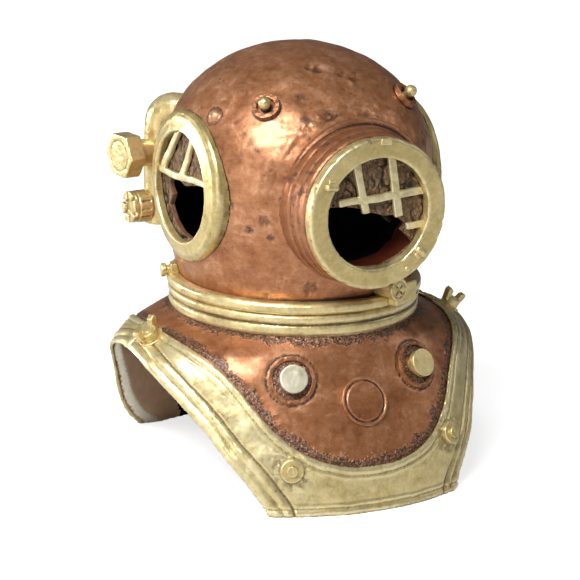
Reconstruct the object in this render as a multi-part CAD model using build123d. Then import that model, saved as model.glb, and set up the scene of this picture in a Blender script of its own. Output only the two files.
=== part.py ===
from build123d import *
import os
from math import atan2, cos, degrees, pi, radians, sin, sqrt

# Bubbling aquarium ornament shaped as a diver's helmet.  Millimetres.
# Frame: +Z up, the face looks along -Y, the wearer's right hand is at -X.
# Origin: the middle of the footprint, on the tank floor.

# ---- bonnet ----------------------------------------------------------------
WALL = 3.4                    # cast wall of bonnet and corselet
BONNET_R = 54.4               # widest radius of the bonnet
BONNET_WIDE_Z = 123.8         # height of the widest place
BONNET_TOP_Z = 172.8          # crown
DOME_SIDE_R = 47.0            # radius of the dome's side, tighter than its crown
NECK_R = 46.8                 # bonnet radius where it meets its ring
NECK_BORE_R = NECK_R - WALL
WINDOW_Z = 118.2              # height of all three window axes
TUNNEL_HOLE_R = 28.5          # holes in the bonnet wall for the three windows
SIDE_HOLE_R = 25.5

# ---- neck rings ------------------------------------------------------------
NECK_Z0 = 65.7                # underside of the corselet ring
NECK_Z1 = 74.4                # joint between the two rings
NECK_Z2 = 79.0                # top of the bonnet ring
NECK_RING_R = 50.6
BONNET_RING_R = 51.6

# ---- corselet --------------------------------------------------------------
FRONT_Y = 75.0                # reach of the hem in front and behind
BACK_Y = 70.0
STRAP_T = 1.0                 # how far the brass straps stand proud
# Level sections, from the hem up: height, half width, reach in front, behind.
STATIONS = [
    (0.0, 80.0, FRONT_Y, BACK_Y),
    (20.0, 79.5, 72.0, 66.2),
    (30.0, 78.5, 68.0, 63.4),
    (40.0, 78.0, 63.0, 60.2),
    (50.0, 76.8, 58.0, 57.0),
    (55.5, 73.4, 55.4, 54.9),
    (60.0, 67.0, 53.4, 53.0),
    (63.6, 58.4, 51.3, 51.0),
    (67.0, 49.0, 49.0, 49.0),
]
LEVEL_STEP = 5.0              # spacing of the sections along the side
# Outline of the shoulder arches, from the front hem over to the back hem.
ARCH = [
    (-64.0, 0), (-52.8, 20), (-33.0, 40), (-18.0, 49.8), (0, 54.4),
    (18.0, 50.8), (31.3, 39.7), (48.0, 16.3), (60.6, 0),
]
# Lower edge of the copper fields that the straps frame, centre to shoulder.
FIELD = [
    (0, 18.0), (18.5, 20.3), (30.0, 25.6), (38.6, 33.4), (47.4, 47.2), (55.0, 56.6), (62.0, 61.6),
]

# ---- windows: distances are out from the bonnet's axis -----------------------
WINDOW_IN_R = 21.9            # clear radius of every window ring
FRONT_RING_R = 29.8
FRONT_FACE = 67.9
FRONT_RING_BACK = 63.2
TUNNEL_R = 24.0               # bore of the front window's tube
TUNNEL_IN = 35.0              # inner end of the tube, inside the bonnet
TUBE_STEPS = [(31.2, 52.0), (30.5, 57.0), (29.9, 61.0), (29.0, FRONT_RING_BACK)]
FLARE_R = 32.4                # worn collar at the foot of the tube, a little off its axis
FLARE_SHIFT = (1.3, 0.9)
FLARE_OUT = 49.0
RING_BEVEL = 0.7
LUG_ANGLES = {"hinge": (147, 28), "catch": (-44, 0)}   # place round the ring, twist on its face
KNUCKLE_AT_R = 25.2
KNUCKLE_RAISE = 0.5
SIDE_RING_R = 30.2
SIDE_FACE = 52.6
SIDE_RING_BACK = 44.0
SIDE_PANE_OUT = 49.0
PANE_R = 23.6
PANE_T = 2.4
BAR_T = 1.9

# ---- fittings ----------------------------------------------------------------
CROWN_STUD = (31.9, -32.1, 156.4)   # left one; the right one is its mirror image
PEG = (28.0, 51.0)                  # breastplate pegs: across, height
PEG_R = 5.6
WASHER_R = 9.7
MEDALLION = (0.0, 41.6)
MEDALLION_R = 10.0
BOSS_R = 4.6                        # bosses on the straps and the studs in them
BOSS_STUD_R = 2.2
BRAIL_STUDS = [("right", -33.6, 18.4), ("left", 38.6, 23.6)]
SHOULDER_STUDS = {"right": (-66.6, -7.0, 59.0), "left": (68.2, -7.4, 57.8)}
SHOULDER_LEAN = (0.5, -0.12, 0.86)  # direction of the left one; the right one mirrors it
PIPE = (-37.4, 49.6)                # axis of the gooseneck pipe
PIPE_R = 6.4
PIPE_Z0 = 91.0
PIPE_Z1 = 132.6
ELBOW_R = 7.0
NUT_Z = 121.0
NUT_TURN = 188.0                    # heading of the inlet nut, degrees from +X
NUT_R = 9.8                         # across its corners, halved
NUT_OUT = 12.8                      # from the pipe's axis to the back of the nut
NUT_LENGTH = 7.2
NUT_NECK_R = 5.6
VALVE_Z = 98.4
COCK_ANGLE = -72.5
COCK_Z = 83.2
LOCK_ANGLE = 160.0
LOCK_Z = 79.6                  # height of the locking knob

# ---- air line ------------------------------------------------------------------
INLET_Z = 12.0                # height of the air inlet at the back
SHANK_R = 3.0
SPIGOT_R = 2.4                # takes 4 mm bore airline
SPIGOT_Y = 72.3
SPIGOT_TOP = 30.0
KNEE_R = 2.7                  # ball where the shank turns up into the spigot
SHOULDER_R = 2.8              # collar that stops the hose clear of the grommet
SHOULDER_TOP = 18.8
AIR_BORE = 1.4
GROMMET_R = 6.4
GROMMET_HOLE_R = 4.6
RUN_CLEAR = 0.05              # running clearance round the swivelling shank
RISER_Y = 33.0
RISER_R = 2.2
RISER_BORE = 1.5
RISER_TOP = 46.0
STONE_R = 7.0
STONE_H = 15.0

os.makedirs("parts", exist_ok=True)
NODES = {}


# ---- helpers -------------------------------------------------------------------
def turned(points):
    """Solid turned about Z from a closed outline of (radius, height) points."""
    outline = Polyline(*points, close=True)
    return revolve(make_face(Plane.XZ * outline), axis=Axis.Z, revolution_arc=360)


def disc(radius, low, high):
    """Cylinder on Z between two heights."""
    return Pos(0, 0, low) * extrude(Circle(radius), high - low)


def ring(outer, inner, low, high):
    """Washer on Z between two heights."""
    return disc(outer, low, high) - disc(inner, low - 1, high + 1)


def block(x0, x1, y0, y1, z0, z1):
    """Box between two corners."""
    return Pos((x0 + x1) / 2, (y0 + y1) / 2, (z0 + z1) / 2) * Box(x1 - x0, y1 - y0, z1 - z0)


def outward(angle_deg, height):
    """Frame on the bonnet's axis whose Z points out at an angle from +X."""
    a = radians(angle_deg)
    plane = Plane(origin=(0, 0, height), x_dir=(-sin(a), cos(a), 0), z_dir=(cos(a), sin(a), 0))
    return Location(plane)


def aimed(point, direction):
    """Frame at a point whose Z runs along a direction."""
    return Location(Plane(origin=point, z_dir=direction))


def corselet_at(height):
    """Half width, front reach and back reach of the corselet at a height, smoothly blended."""
    index = max(i for i in range(len(STATIONS) - 1) if height >= STATIONS[i][0] - 1e-9)
    low, high = STATIONS[index], STATIONS[index + 1]
    step = high[0] - low[0]
    t = (height - low[0]) / step
    sizes = []
    for k in (1, 2, 3):
        start = low[k] * (1 + 2 * t) * (1 - t) ** 2 + slope(index, k) * step * t * (1 - t) ** 2
        end = high[k] * t * t * (3 - 2 * t) + slope(index + 1, k) * step * t * t * (t - 1)
        sizes.append(start + end)
    return sizes


def slope(index, k):
    """Slope of one size at a station, flat wherever the size turns back."""
    rises = []
    for low, high in zip(STATIONS, STATIONS[1:]):
        rises.append((high[k] - low[k]) / (high[0] - low[0]))
    if index == 0:
        return rises[0]
    if index == len(rises):
        return rises[-1]
    before, after = rises[index - 1], rises[index]
    return 0 if before * after <= 0 else 2 * before * after / (before + after)


def corselet_levels(spacing):
    """Heights at even steps along the corselet's side, from the hem to the neck."""
    fine = [STATIONS[-1][0] * i / 400 for i in range(401)]
    widths = [corselet_at(z)[0] for z in fine]
    run = [0.0]
    for i in range(400):
        run.append(run[-1] + sqrt((fine[i + 1] - fine[i]) ** 2 + (widths[i + 1] - widths[i]) ** 2))
    count = round(run[-1] / spacing)
    levels = []
    for n in range(count + 1):
        i = min(max(j for j in range(401) if run[j] <= run[-1] * n / count + 1e-9), 400)
        levels.append(fine[i])
    return levels


def skin_point(x, z, back=False):
    """Point on the corselet's outer skin, straight in front of or behind (x, z)."""
    half_width, front, rear = corselet_at(z)
    reach = (front + rear) / 2
    bulge = reach * sqrt(1 - (x / half_width) ** 2)
    y = (rear - front) / 2 + (bulge if back else -bulge)
    return Vector(x, y, z)


def skin_frame(x, z, back=False):
    """Frame on the corselet's skin whose Z points straight out of it."""
    step = 3.0
    across = skin_point(x + step, z, back) - skin_point(x - step, z, back)
    up = skin_point(x, z + step, back) - skin_point(x, z - step, back)
    normal = across.cross(up)
    if back:
        normal = -normal
    return aimed(skin_point(x, z, back), normal.normalized())


# ---- bonnet ----------------------------------------------------------------------
def bonnet_solid(inset, low):
    """Bonnet turned as a solid: straight neck, curved waist and two-arc dome."""
    neck, wide = NECK_R - inset, BONNET_R - inset
    rise = BONNET_TOP_Z - inset - BONNET_WIDE_Z
    side = DOME_SIDE_R - inset
    offset = wide - side
    crown = (offset ** 2 + rise ** 2 - side ** 2) / (2 * (rise - side))
    drop = crown - rise
    reach = sqrt(offset ** 2 + drop ** 2)
    meet = Vector(crown * offset / reach, 0, BONNET_WIDE_Z - drop + crown * drop / reach)
    shoulder_angle = atan2(drop, offset) / 2
    mid_side = Vector(offset + side * cos(shoulder_angle), 0, BONNET_WIDE_Z + side * sin(shoulder_angle))
    crown_angle = (atan2(drop, offset) + pi / 2) / 2
    mid_crown = Vector(crown * cos(crown_angle), 0, BONNET_WIDE_Z - drop + crown * sin(crown_angle))
    height = BONNET_WIDE_Z - NECK_Z2
    waist_r = ((wide - neck) ** 2 + height ** 2) / (2 * (wide - neck))
    half = height / 2
    mid_waist = Vector(wide - waist_r + sqrt(waist_r ** 2 - half ** 2), 0, NECK_Z2 + half)
    edges = [
        Line((0, 0, low), (neck, 0, low)),
        Line((neck, 0, low), (neck, 0, NECK_Z2)),
        ThreePointArc((neck, 0, NECK_Z2), mid_waist, (wide, 0, BONNET_WIDE_Z)),
        ThreePointArc((wide, 0, BONNET_WIDE_Z), mid_side, meet),
        ThreePointArc(meet, mid_crown, (0, 0, BONNET_WIDE_Z + rise)),
        Line((0, 0, BONNET_WIDE_Z + rise), (0, 0, low)),
    ]
    return revolve(make_face(edges), axis=Axis.Z, revolution_arc=360)


FRONT = outward(-90, WINDOW_Z)
RIGHT = outward(180, WINDOW_Z)
LEFT = outward(0, WINDOW_Z)
BONNET_OUT = bonnet_solid(0, NECK_Z1)


def bonnet_shell():
    """Hollow bonnet with its three window holes."""
    shell = BONNET_OUT - bonnet_solid(WALL, NECK_Z1 - 1)
    shell -= FRONT * disc(TUNNEL_HOLE_R, 20, 70)
    shell -= RIGHT * disc(SIDE_HOLE_R, 20, 70)
    return shell - LEFT * disc(SIDE_HOLE_R, 20, 70)


NODES["bonnet_shell"] = bonnet_shell()


# ---- windows -----------------------------------------------------------------------
def front_tube():
    """Stepped tube that carries the front window, seated in the bonnet wall."""
    outline = [(TUNNEL_R, TUNNEL_IN + 5), (TUNNEL_HOLE_R, TUNNEL_IN + 5), (TUNNEL_HOLE_R, TUNNEL_IN)]
    start = TUNNEL_IN
    for radius, end in TUBE_STEPS:
        outline += [(radius, start), (radius, end)]
        start = end + 0.7
    outline.append((TUNNEL_R, FRONT_RING_BACK))
    flare = disc(FLARE_R, TUNNEL_IN, FLARE_OUT)
    flare = Pos(*FLARE_SHIFT, 0) * chamfer(flare.edges().sort_by(Axis.Z)[-1], 0.9)
    flare -= disc(TUBE_STEPS[-2][0], TUNNEL_IN - 5, FLARE_OUT + 1)
    return FRONT * (turned(outline) + flare) - (BONNET_OUT - FRONT * disc(TUNNEL_HOLE_R, 20, 70))


def front_frame():
    """Flat brass ring with a fine bevel on both rims."""
    outline = [
        (WINDOW_IN_R, FRONT_RING_BACK), (FRONT_RING_R, FRONT_RING_BACK),
        (FRONT_RING_R, FRONT_FACE - RING_BEVEL), (FRONT_RING_R - RING_BEVEL, FRONT_FACE),
        (WINDOW_IN_R + 0.4, FRONT_FACE), (WINDOW_IN_R, FRONT_FACE - 0.4),
    ]
    return FRONT * turned(outline)


def side_frame(place):
    """Brass ring with a coned face and a rebate behind it for the pane."""
    outline = [
        (PANE_R, SIDE_RING_BACK), (SIDE_RING_R + 0.6, SIDE_RING_BACK),
        (SIDE_RING_R, SIDE_FACE - 3.2), (SIDE_RING_R - 0.9, SIDE_FACE - 2.2),
        (WINDOW_IN_R + 0.6, SIDE_FACE), (WINDOW_IN_R, SIDE_FACE - 0.6),
        (WINDOW_IN_R, SIDE_PANE_OUT), (PANE_R, SIDE_PANE_OUT),
    ]
    return place * turned(outline) - (BONNET_OUT - place * disc(SIDE_HOLE_R, 20, 70))


def pane(place, out, torn):
    """Cracked pane: a disc with a torn opening, its outer face at 'out'."""
    opening = make_face(Polyline(*torn, close=True))
    plate = disc(PANE_R - 0.1, out - PANE_T, out)
    return place * (plate - Pos(0, 0, out - PANE_T - 1) * extrude(opening, PANE_T + 2))


def bar(start, end, width):
    """Flat bar between two points of a window's face."""
    dx, dy = end[0] - start[0], end[1] - start[1]
    middle = Pos((start[0] + end[0]) / 2, (start[1] + end[1]) / 2, 0)
    return middle * Rot(0, 0, degrees(atan2(dy, dx))) * Rectangle(sqrt(dx * dx + dy * dy), width)


def grille(place, out, bars):
    """Relief bars that stand on a pane, trimmed to the ring's bore."""
    sketch = Sketch() + [bar(*b) for b in bars]
    return place * Pos(0, 0, out) * extrude(sketch & Circle(WINDOW_IN_R), BAR_T)


def mirrored(points):
    """The same outline, seen in a mirror."""
    return [(-x, y) for x, y in points]


FRONT_BARS = [
    ((-8.8, 23.0), (-4.4, -0.2), 3.2),
    ((6.2, 23.0), (10.4, -3.0), 3.4),
    ((-15.6, 4.9), (23.0, 6.8), 3.0),
    ((14.0, -7.1), (23.0, -6.0), 2.6),
]
FRONT_TEAR = [
    (-21.6, 3.0), (-12.5, 3.0), (-5.9, 1.6), (-1.9, 0.0), (5.2, -2.2), (10.1, -2.3),
    (14.7, -6.3), (12.6, -8.5), (16.8, -12.1), (18.4, -14.6), (12.4, -18.6),
    (4.0, -22.0), (-6.0, -21.6), (-14.0, -17.2), (-20.0, -10.4), (-22.3, -2.0),
]
SIDE_BARS = [
    ((-4.4, 23.0), (-19.0, 3.6), 2.8),
    ((9.8, 23.0), (-3.6, 2.2), 3.0),
    ((-23.5, 2.8), (-2.4, 3.2), 2.6),
    ((-3.4, 3.2), (23.0, 4.8), 2.6),
]
SIDE_TEAR = [
    (-15.0, 1.2), (-7.0, 1.4), (-1.5, -0.4), (9.0, 2.2), (18.0, 3.0), (22.2, 1.0),
    (21.6, -6.4), (18.0, -13.2), (11.6, -17.8), (3.4, -20.4), (-4.4, -19.4),
    (-10.8, -16.0), (-15.2, -11.0), (-12.6, -6.0), (-15.8, -3.0),
]

NODES["front_window_tube"] = front_tube()
NODES["front_window_frame"] = front_frame()
NODES["front_window_pane"] = pane(FRONT, FRONT_RING_BACK, FRONT_TEAR)
NODES["front_window_grille"] = grille(FRONT, FRONT_RING_BACK, FRONT_BARS)
for side, place, flip in (("right", RIGHT, False), ("left", LEFT, True)):
    tear = mirrored(SIDE_TEAR) if flip else SIDE_TEAR
    bars = [(*mirrored(b[:2]), b[2]) for b in SIDE_BARS] if flip else SIDE_BARS
    NODES[f"{side}_window_frame"] = side_frame(place)
    NODES[f"{side}_window_pane"] = pane(place, SIDE_PANE_OUT, tear)
    NODES[f"{side}_window_grille"] = grille(place, SIDE_PANE_OUT, bars)


# ---- lugs on the front ring ------------------------------------------------------
def knuckle(length, radius, across):
    """Round-ended bar lying on the ring's face."""
    half = length / 2 - radius
    bar = Pos(0, across, KNUCKLE_RAISE) * Rot(0, 90, 0) * Cylinder(radius, 2 * half)
    for end in (-half, half):
        bar += Pos(end, across, KNUCKLE_RAISE) * Sphere(radius)
    return bar & block(-5, 5, -5, 5, 0, 4)


def hinge_lug(angle_deg, twist_deg):
    """Two round knuckles joined by a thin foot, lying across the ring."""
    lug = knuckle(6.0, 1.55, 1.3) + knuckle(3.6, 1.25, -1.5) + block(-1.4, 1.4, -1.6, 1.4, 0, 0.7)
    return FRONT * Rot(0, 0, angle_deg) * Pos(KNUCKLE_AT_R, 0, FRONT_FACE) * Rot(0, 0, twist_deg) * lug


def rim_notch_pads():
    """Worn clamp pads on the ring's rim."""
    top = Rot(0, 0, 86) * block(27.2, 29.6, -2.4, 2.4, FRONT_FACE, FRONT_FACE + 0.7)
    low = Rot(0, 0, -60) * Pos(26.4, 0, 0) * disc(1.1, FRONT_FACE, FRONT_FACE + 0.8)
    return Compound(children=[FRONT * top, FRONT * low])


NODES["front_window_hinge"] = hinge_lug(*LUG_ANGLES["hinge"])
NODES["front_window_catch"] = hinge_lug(*LUG_ANGLES["catch"])
NODES["front_window_pads"] = rim_notch_pads()


# ---- crown studs -----------------------------------------------------------------
def crown_frame(side):
    """Frame on the bonnet's skin where a crown stud stands."""
    x, y, z = CROWN_STUD
    steep = (BONNET_R / (BONNET_TOP_Z - BONNET_WIDE_Z)) ** 2
    return aimed((side * x, y, z), (side * x, y, (z - BONNET_WIDE_Z) * steep))


def crown_stud(side):
    """Ball-headed pin on a short stem."""
    pin = Pos(0, 0, 1.0) * Sphere(2.5) + disc(1.5, -4.2, 0.5)
    return crown_frame(side) * pin - BONNET_OUT


def crown_washer(side):
    """Copper ring round a crown stud, shaped to the dome beneath."""
    return crown_frame(side) * ring(5.7, 3.4, -4, -0.6) - BONNET_OUT


for side, sign in (("right", -1), ("left", 1)):
    NODES[f"crown_stud_{side}"] = crown_stud(sign)
    NODES[f"crown_washer_{side}"] = crown_washer(sign)


# ---- gooseneck, inlet nut and regulating valve -------------------------------------
INWARD = Vector(-PIPE[0], -PIPE[1], 0).normalized()


def gooseneck():
    """Upright pipe whose top bends over into the bonnet."""
    foot = Vector(PIPE[0], PIPE[1], PIPE_Z0)
    bend = Vector(PIPE[0], PIPE[1], PIPE_Z1)
    out = bend + INWARD * ELBOW_R + Vector(0, 0, ELBOW_R)
    mid = bend + INWARD * (ELBOW_R * (1 - cos(pi / 4))) + Vector(0, 0, ELBOW_R * sin(pi / 4))
    path = Line(foot, bend) + ThreePointArc(bend, mid, out) + Line(out, out + INWARD * 9)
    pipe = sweep(Pos(*foot) * Circle(PIPE_R), path=path)
    return pipe - bonnet_solid(0, NECK_Z1)


def side_frame_at(height, turn_deg=180.0):
    """Frame on the pipe's axis whose Z points sideways at a heading."""
    a = radians(turn_deg)
    plane = Plane(origin=(*PIPE, height), x_dir=(0, 0, 1), z_dir=(cos(a), sin(a), 0))
    return Location(plane)


PIPE_BODY = gooseneck()


def inlet_neck():
    """Round neck between the pipe and the inlet nut."""
    return side_frame_at(NUT_Z, NUT_TURN) * disc(NUT_NECK_R, 3.0, NUT_OUT) - PIPE_BODY - BONNET_OUT


def inlet_nut():
    """Hexagon nut with a shallow round groove in its face."""
    nut = Pos(0, 0, NUT_OUT) * extrude(RegularPolygon(NUT_R, 6, rotation=30), NUT_LENGTH)
    face = NUT_OUT + NUT_LENGTH
    nut &= disc(NUT_R + 1, NUT_OUT, face - 1) + Pos(0, 0, face - 0.5) * Cone(NUT_R + 0.4, NUT_R - 0.8, 1.0)
    nut -= ring(6.6, 5.9, face - 0.5, face + 0.6)
    return side_frame_at(NUT_Z, NUT_TURN) * nut


def valve_body():
    """Round boss that carries the regulating valve's cap."""
    return side_frame_at(VALVE_Z) * disc(5.0, 3.0, 8.6) - PIPE_BODY - BONNET_OUT


def valve_cap():
    """Castellated cap with lengthwise ribs and a groove near its end."""
    cap = disc(6.6, 5.4, 14.0) - ring(8.0, 6.1, 11.0, 11.7)
    for i in range(12):
        cap -= Rot(0, 0, 30 * i) * block(6.1, 8.0, -0.55, 0.55, 6.2, 10.4)
    for i in range(6):
        cap -= Rot(0, 0, 60 * i + 15) * block(3.4, 8.0, -0.9, 0.9, 12.6, 15.0)
    cap -= disc(3.4, 12.8, 15.0)
    return side_frame_at(VALVE_Z) * cap - PIPE_BODY - valve_body()


NODES["gooseneck_pipe"] = PIPE_BODY
NODES["inlet_neck"] = inlet_neck()
NODES["inlet_nut"] = inlet_nut()
NODES["valve_body"] = valve_body()
NODES["valve_cap"] = valve_cap()


# ---- corselet ------------------------------------------------------------------------
def corselet_section(height, inset):
    """Oval level section, drawn in by an inset; near the top it also sinks."""
    half_width, front, rear = corselet_at(height)
    top = min(max((height - 50.0) / 11.5, 0.0), 1.0)
    draw = inset * (1 - 0.5 * top)
    place = Pos(0, (rear - front) / 2, height - inset * top)
    return place * Ellipse(half_width - draw, (front + rear) / 2 - draw)


def corselet_solid(inset):
    """Corselet as a solid body, drawn in by an inset."""
    return loft([corselet_section(z, inset) for z in corselet_levels(LEVEL_STEP)])


CORSELET_OUT = corselet_solid(0.0)
COPPER_OUT = corselet_solid(STRAP_T)
CORSELET_IN = corselet_solid(STRAP_T + WALL)


def shoulder_arches():
    """Tunnel from side to side that opens both shoulders."""
    curve = Spline(*ARCH)
    closing = Polyline(ARCH[-1], (ARCH[-1][0], -10), (ARCH[0][0], -10), ARCH[0])
    outline = make_face(Plane.YZ * (curve + closing))
    return extrude(outline, 100, both=True)


def copper_field():
    """Prism from front to back that the straps leave free."""
    low_edge = [(-x, z) for x, z in reversed(FIELD[1:])] + FIELD
    curve = Spline(*low_edge)
    closing = Polyline(FIELD[-1], (FIELD[-1][0], 90), (-FIELD[-1][0], 90), low_edge[0])
    return extrude(make_face(Plane.XZ * (curve + closing)), 100, both=True)


ARCHES = shoulder_arches()
INLET_HOLE = Pos(0, 0, INLET_Z) * Rot(-90, 0, 0) * disc(GROMMET_HOLE_R, 55, 80)


def corselet_shell():
    """Copper shell with both shoulder arches, the neck bore and the inlet hole."""
    shell = COPPER_OUT - CORSELET_IN - ARCHES
    shell -= disc(NECK_BORE_R, 40, 80)
    return shell - INLET_HOLE


def straps():
    """Brass skin over the copper, front and back halves."""
    skin = CORSELET_OUT - COPPER_OUT - ARCHES - copper_field() - INLET_HOLE
    front = skin & block(-100, 100, -100, 0, -1, 90)
    back = skin & block(-100, 100, 0, 100, -1, 90)
    return front, back


CORSELET = corselet_shell()
NODES["corselet_shell"] = CORSELET
NODES["front_brail"], NODES["back_brail"] = straps()


# ---- neck ------------------------------------------------------------------------------
def bonnet_ring():
    """Brass ring round the foot of the bonnet."""
    outline = [
        (NECK_R, NECK_Z1), (50.4, NECK_Z1), (BONNET_RING_R, NECK_Z1 + 1.0),
        (BONNET_RING_R, NECK_Z2 - 1.2), (50.6, NECK_Z2), (NECK_R, NECK_Z2),
    ]
    return turned(outline)


def corselet_ring():
    """Two-banded brass ring that the bonnet locks into."""
    outline = [
        (NECK_BORE_R, NECK_Z0 - 3.0), (48.6, NECK_Z0 - 3.0), (50.0, NECK_Z0 + 0.2),
        (NECK_RING_R, NECK_Z0 + 1.0), (NECK_RING_R, 69.2), (49.9, 69.9), (49.9, 70.5),
        (NECK_RING_R + 0.3, 71.2), (NECK_RING_R + 0.3, 73.4), (49.2, NECK_Z1),
        (NECK_BORE_R, NECK_Z1),
    ]
    return turned(outline) - (COPPER_OUT - disc(NECK_BORE_R, 40, 80))


def lock_bracket():
    """Small bracket on top of the ring that holds the locking knob."""
    lug = block(NECK_R - 1, 50.4, -2.8, 2.8, LOCK_Z - 4, LOCK_Z + 3)
    return Rot(0, 0, LOCK_ANGLE) * lug - bonnet_ring() - BONNET_OUT


def lock_knob():
    """Round locking knob on its lug."""
    knob = disc(2.0, 50.4, 52.2) + disc(2.8, 52.2, 54.2)
    return outward(LOCK_ANGLE, LOCK_Z) * knob - bonnet_ring()


def spitcock_body():
    """Boss on the front of the neck with a lip that runs along the ring."""
    boss = outward(COCK_ANGLE, COCK_Z) * disc(4.3, 45.0, 56.2)
    lip = outward(COCK_ANGLE + 9, COCK_Z - 3.4) * block(-7.5, 6.5, -4.4, 4.2, 46.0, 55.4)
    return boss + lip - BONNET_OUT - bonnet_ring() - corselet_ring()


def spitcock_disc():
    """Small round handle with a cross cut in its face."""
    handle = disc(4.6, 56.2, 58.2) - ring(3.5, 3.0, 57.8, 59)
    for turn in (45, 135):
        handle -= Rot(0, 0, turn) * block(-2.8, 2.8, -0.35, 0.35, 57.7, 59)
    return outward(COCK_ANGLE, COCK_Z) * handle


NODES["bonnet_neck_ring"] = bonnet_ring()
NODES["corselet_neck_ring"] = corselet_ring()
NODES["neck_lock_bracket"] = lock_bracket()
NODES["neck_lock_knob"] = lock_knob()
NODES["spitcock_body"] = spitcock_body()
NODES["spitcock_disc"] = spitcock_disc()


# ---- breastplate ------------------------------------------------------------------------
def peg(side):
    """Flat-headed weight peg on a short stem."""
    head = disc(PEG_R, 1.4, 4.0) + disc(4.2, -4.0, 1.5)
    return skin_frame(side * PEG[0], PEG[1]) * head - COPPER_OUT


def peg_washer(side):
    """Copper ring round a peg, shaped to the breastplate beneath."""
    return skin_frame(side * PEG[0], PEG[1]) * ring(WASHER_R, 7.6, -4.0, 0.1) - COPPER_OUT


def medallion():
    """Plain raised disc between the pegs with a grooved border."""
    plate = disc(MEDALLION_R, -4.0, 0.3) - ring(8.8, 7.9, -0.3, 1.0)
    return skin_frame(*MEDALLION) * plate - COPPER_OUT


for side, sign in (("right", -1), ("left", 1)):
    NODES[f"breast_peg_{side}"] = peg(sign)
    NODES[f"breast_washer_{side}"] = peg_washer(sign)
NODES["medallion_plate"] = medallion()


# ---- strap studs and wing nuts ----------------------------------------------------------
def brail_boss(x, z, back=False):
    """Round boss on a strap."""
    return skin_frame(x, z, back) * ring(BOSS_R, BOSS_STUD_R, -3.0, 2.1) - CORSELET_OUT


def brail_stud(x, z, back=False):
    """Stud through a strap's boss."""
    return skin_frame(x, z, back) * disc(BOSS_STUD_R, -3.0, 3.2) - CORSELET_OUT


for side, x, z in BRAIL_STUDS:
    NODES[f"brail_boss_front_{side}"] = brail_boss(x, z)
    NODES[f"brail_stud_front_{side}"] = brail_stud(x, z)
    NODES[f"brail_boss_back_{side}"] = brail_boss(x, z, back=True)
    NODES[f"brail_stud_back_{side}"] = brail_stud(x, z, back=True)


def shoulder_frame(side):
    """Frame on top of a shoulder strap."""
    across, forward, up = SHOULDER_LEAN
    return aimed(SHOULDER_STUDS[side], (across if side == "left" else -across, forward, up))


def shoulder_stud(side):
    """Threaded stud that stands on the shoulder."""
    return shoulder_frame(side) * (disc(2.0, -3.0, 5.6) + disc(5.0, -3.0, 1.6)) - CORSELET_OUT


def wing_nut(side):
    """Hub with two stubby upright ears."""
    nut = ring(3.7, 2.0, 1.6, 5.0)
    ear = Polyline((2.5, 2.4), (5.0, 3.2), (6.3, 7.4), (5.4, 8.6), (3.3, 7.8), (2.5, 5.0), close=True)
    for turn in (20, 200):
        nut += Rot(0, 0, turn) * extrude(Plane.XZ * make_face(ear), 1.3, both=True)
    return shoulder_frame(side) * nut


for side in SHOULDER_STUDS:
    NODES[f"shoulder_stud_{side}"] = shoulder_stud(side)
    NODES[f"shoulder_wing_nut_{side}"] = wing_nut(side)


# ---- air line --------------------------------------------------------------------------------
def along_back(shape):
    """Turn a shape on Z to run along +Y at the inlet's height."""
    return Pos(0, 0, INLET_Z) * Rot(-90, 0, 0) * shape


def wall_at_inlet():
    """The stretch of wall that the grommet grips, in the frame of its axis."""
    return (CORSELET_OUT - CORSELET_IN) - INLET_HOLE


def grommet():
    """Rubber grommet in the inlet hole, with a flange on each side of the wall."""
    body = along_back(disc(GROMMET_R, 62.0, 69.4))
    bore = along_back(disc(SHANK_R + RUN_CLEAR, 50, 80))
    return body - wall_at_inlet() - bore


def air_nozzle():
    """Swivelling elbow: shank through the grommet, hose spigot standing up outside."""
    shank = along_back(disc(SHANK_R, 58.6, SPIGOT_Y - 2.2))
    knee = Pos(0, SPIGOT_Y, INLET_Z) * Sphere(KNEE_R)
    neck = along_back(disc(KNEE_R, SPIGOT_Y - 2.6, SPIGOT_Y))
    upright = disc(SHOULDER_R, INLET_Z + 1, SHOULDER_TOP) + disc(SPIGOT_R, INLET_Z, SPIGOT_TOP)
    body = shank + neck + knee + Pos(0, SPIGOT_Y, 0) * upright
    bore = along_back(disc(AIR_BORE, 50, SPIGOT_Y)) + Pos(0, SPIGOT_Y, 0) * disc(AIR_BORE, INLET_Z, 40)
    return body - bore


def air_manifold():
    """Block on the inside of the back wall that joins the nozzle to the riser."""
    body = block(-8, 8, 50, 70, 4, 20) & CORSELET_IN
    body -= along_back(disc(GROMMET_R + 0.1, 61.0, 80))
    body -= along_back(disc(SHANK_R + RUN_CLEAR, 58.0, 80))
    body -= along_back(disc(RISER_R, 40, 55.0))
    return body - along_back(disc(RISER_BORE, 40, 80))


def riser_tube():
    """Rigid pipe that runs inwards from the manifold and turns up."""
    bend = 9.0
    start = Vector(0, 55.0, INLET_Z)
    corner = Vector(0, RISER_Y, INLET_Z)
    before = corner + Vector(0, bend, 0)
    after = corner + Vector(0, 0, bend)
    centre = corner + Vector(0, bend, bend)
    mid = centre - Vector(0, bend, bend) * sqrt(0.5)
    top = Vector(0, RISER_Y, RISER_TOP)
    path = Line(start, before) + ThreePointArc(before, mid, after) + Line(after, top)
    section = Plane(origin=start, z_dir=(0, -1, 0)) * (Circle(RISER_R) - Circle(RISER_BORE))
    return sweep(section, path=path)


def riser_clip():
    """Strut from the back wall that holds the riser upright."""
    strut = block(-3, 3, RISER_Y - 4, 60, 36, 40) & CORSELET_IN
    return strut - Pos(0, RISER_Y, 0) * disc(RISER_R, 30, 50)


def stone_stem():
    """Stem of the air stone, pushed into the top of the riser."""
    stem = disc(RISER_BORE - RUN_CLEAR, RISER_TOP - 9, RISER_TOP + 6)
    stem += disc(2.6, RISER_TOP + RUN_CLEAR, RISER_TOP + 1.6)
    return Pos(0, RISER_Y, 0) * (stem - disc(0.7, 0, 90))


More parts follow.
